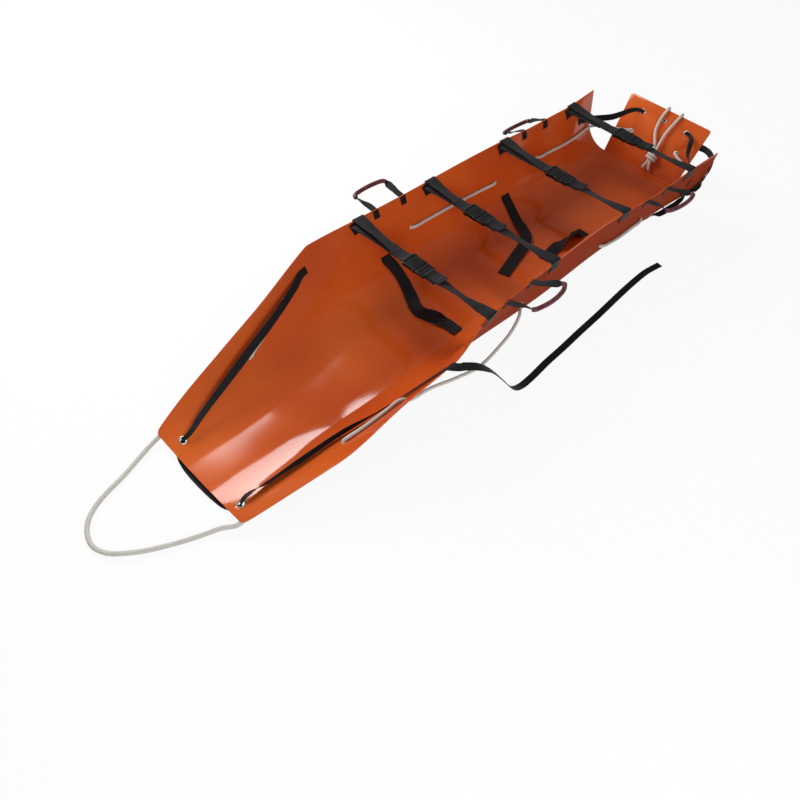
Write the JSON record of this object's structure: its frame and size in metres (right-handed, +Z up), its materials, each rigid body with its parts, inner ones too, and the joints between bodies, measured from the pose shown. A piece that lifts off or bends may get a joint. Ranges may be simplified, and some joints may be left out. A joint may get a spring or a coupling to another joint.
{
  "type": "roll-up rescue stretcher",
  "caption": "Curled plastic sheet stretcher with buckled cross straps, carrying handles, a folding head flap and a laced tow rope.",
  "frame": {"origin": "middle of the underside, measured without the tow loop and the strap's loose end", "axes": "+X along the stretcher towards the head flap, +Y across it, +Z up"},
  "size_m": [2.6738, 0.8387, 0.3207],
  "materials": {
    "orange_plastic": "glossy moulded sheet",
    "webbing": "woven nylon webbing",
    "buckle_plastic": "satin moulded",
    "grip_tube": "soft tube",
    "rope": "braided",
    "eyelet_metal": "plated"
  },
  "bodies": {
    "root": {"hull_sheet": "orange_plastic", "strap_far_1": "webbing", "strap_near_1": "webbing", "strap_far_2": "webbing", "strap_near_2": "webbing", "strap_far_3": "webbing", "strap_near_3": "webbing", "strap_far_4": "webbing", "strap_near_4": "webbing", "buckle_female_1": "buckle_plastic", "buckle_female_2": "buckle_plastic", "buckle_female_3": "buckle_plastic", "buckle_female_4": "buckle_plastic", "handle_anchor_far_1a": "webbing", "handle_anchor_far_1b": "webbing", "handle_anchor_near_1a": "webbing", "handle_anchor_near_1b": "webbing", "handle_anchor_far_2a": "webbing", "handle_anchor_far_2b": "webbing", "handle_anchor_near_2a": "webbing", "handle_anchor_near_2b": "webbing", "foot_grommet_far": "eyelet_metal", "foot_grommet_near": "eyelet_metal", "side_rope_far": "rope", "side_rope_near": "rope", "tow_rope_loop": "rope", "rope_notch_far": "rope", "rope_notch_near": "rope", "head_strap_far": "webbing", "head_strap_near": "webbing", "inner_strap_far_1": "webbing", "inner_strap_far_2": "webbing", "inner_strap_near": "webbing", "foot_strap": "webbing", "foot_strap_tail": "webbing"},
    "buckle_male_1": {"buckle_male_1": "buckle_plastic"},
    "buckle_prong_1a": {"buckle_prong_1a": "buckle_plastic"},
    "buckle_prong_1b": {"buckle_prong_1b": "buckle_plastic"},
    "buckle_male_2": {"buckle_male_2": "buckle_plastic"},
    "buckle_prong_2a": {"buckle_prong_2a": "buckle_plastic"},
    "buckle_prong_2b": {"buckle_prong_2b": "buckle_plastic"},
    "buckle_male_3": {"buckle_male_3": "buckle_plastic"},
    "buckle_prong_3a": {"buckle_prong_3a": "buckle_plastic"},
    "buckle_prong_3b": {"buckle_prong_3b": "buckle_plastic"},
    "buckle_male_4": {"buckle_male_4": "buckle_plastic"},
    "buckle_prong_4a": {"buckle_prong_4a": "buckle_plastic"},
    "buckle_prong_4b": {"buckle_prong_4b": "buckle_plastic"},
    "handle_far_1": {"handle_webbing_far_1": "webbing", "handle_grip_far_1": "grip_tube"},
    "handle_near_1": {"handle_webbing_near_1": "webbing", "handle_grip_near_1": "grip_tube"},
    "handle_far_2": {"handle_webbing_far_2": "webbing", "handle_grip_far_2": "grip_tube"},
    "handle_near_2": {"handle_webbing_near_2": "webbing", "handle_grip_near_2": "grip_tube"},
    "head_flap": {"head_flap": "orange_plastic", "head_strap_back": "webbing", "flap_rope_far": "rope", "flap_rope_near": "rope", "flap_knot": "rope"}
  },
  "joints": [
    {"name": "buckle_release_1", "type": "slide", "parent": "root", "child": "buckle_male_1", "axis": [0, -1, 0], "range_m": [0, 0.034], "deforming": ["strap_near_1"]},
    {"name": "prong_1a", "type": "hinge", "parent": "buckle_male_1", "child": "buckle_prong_1a", "pos_m": [-0.2433, -0.00922, 0.28581], "axis": [0, 0, 1], "range_deg": [0, 7], "stiffness_Nm_per_rad": 0.8},
    {"name": "prong_1b", "type": "hinge", "parent": "buckle_male_1", "child": "buckle_prong_1b", "pos_m": [-0.2723, -0.00922, 0.28581], "axis": [0, 0, -1], "range_deg": [0, 7], "stiffness_Nm_per_rad": 0.8},
    {"name": "buckle_release_2", "type": "slide", "parent": "root", "child": "buckle_male_2", "axis": [0, -1, 0], "range_m": [0, 0.034], "deforming": ["strap_near_2"]},
    {"name": "prong_2a", "type": "hinge", "parent": "buckle_male_2", "child": "buckle_prong_2a", "pos_m": [0.0907, 0.03578, 0.28217], "axis": [0, 0, 1], "range_deg": [0, 7], "stiffness_Nm_per_rad": 0.8},
    {"name": "prong_2b", "type": "hinge", "parent": "buckle_male_2", "child": "buckle_prong_2b", "pos_m": [0.0617, 0.03578, 0.28217], "axis": [0, 0, -1], "range_deg": [0, 7], "stiffness_Nm_per_rad": 0.8},
    {"name": "buckle_release_3", "type": "slide", "parent": "root", "child": "buckle_male_3", "axis": [0, -1, 0], "range_m": [0, 0.034], "deforming": ["strap_near_3"]},
    {"name": "prong_3a", "type": "hinge", "parent": "buckle_male_3", "child": "buckle_prong_3a", "pos_m": [0.4757, -0.00922, 0.27854], "axis": [0, 0, 1], "range_deg": [0, 7], "stiffness_Nm_per_rad": 0.8},
    {"name": "prong_3b", "type": "hinge", "parent": "buckle_male_3", "child": "buckle_prong_3b", "pos_m": [0.4467, -0.00922, 0.27854], "axis": [0, 0, -1], "range_deg": [0, 7], "stiffness_Nm_per_rad": 0.8},
    {"name": "buckle_release_4", "type": "slide", "parent": "root", "child": "buckle_male_4", "axis": [0, -1, 0], "range_m": [0, 0.034], "deforming": ["strap_near_4"]},
    {"name": "prong_4a", "type": "hinge", "parent": "buckle_male_4", "child": "buckle_prong_4a", "pos_m": [0.8817, -0.01422, 0.26318], "axis": [0, 0, 1], "range_deg": [0, 7], "stiffness_Nm_per_rad": 0.8},
    {"name": "prong_4b", "type": "hinge", "parent": "buckle_male_4", "child": "buckle_prong_4b", "pos_m": [0.8527, -0.01422, 0.26318], "axis": [0, 0, -1], "range_deg": [0, 7], "stiffness_Nm_per_rad": 0.8},
    {"name": "handle_swing_far_1", "type": "hinge", "parent": "root", "child": "handle_far_1", "pos_m": [-0.11074, 0.30101, 0.28681], "axis": [0.9996, -0.019, -0.0208], "range_deg": [-60, 68]},
    {"name": "handle_swing_near_1", "type": "hinge", "parent": "root", "child": "handle_near_1", "pos_m": [-0.11024, -0.30357, 0.2927], "axis": [-0.9972, -0.0747, 0.0071], "range_deg": [-58, 60]},
    {"name": "handle_swing_far_2", "type": "hinge", "parent": "root", "child": "handle_far_2", "pos_m": [0.64924, 0.28502, 0.26958], "axis": [0.9989, -0.0151, -0.0443], "range_deg": [-28, 100]},
    {"name": "handle_swing_near_2", "type": "hinge", "parent": "root", "child": "handle_near_2", "pos_m": [0.649, -0.29947, 0.27091], "axis": [-0.9984, 0.0141, 0.0541], "range_deg": [-56, 45]},
    {"name": "head_flap_fold", "type": "hinge", "parent": "root", "child": "head_flap", "pos_m": [1.0342, -0.00922, 0.04654], "axis": [0, 1, 0], "range_deg": [-25, 57], "deforming": ["head_strap_far", "head_strap_near", "rope_notch_far", "rope_notch_near"]}
  ]
}
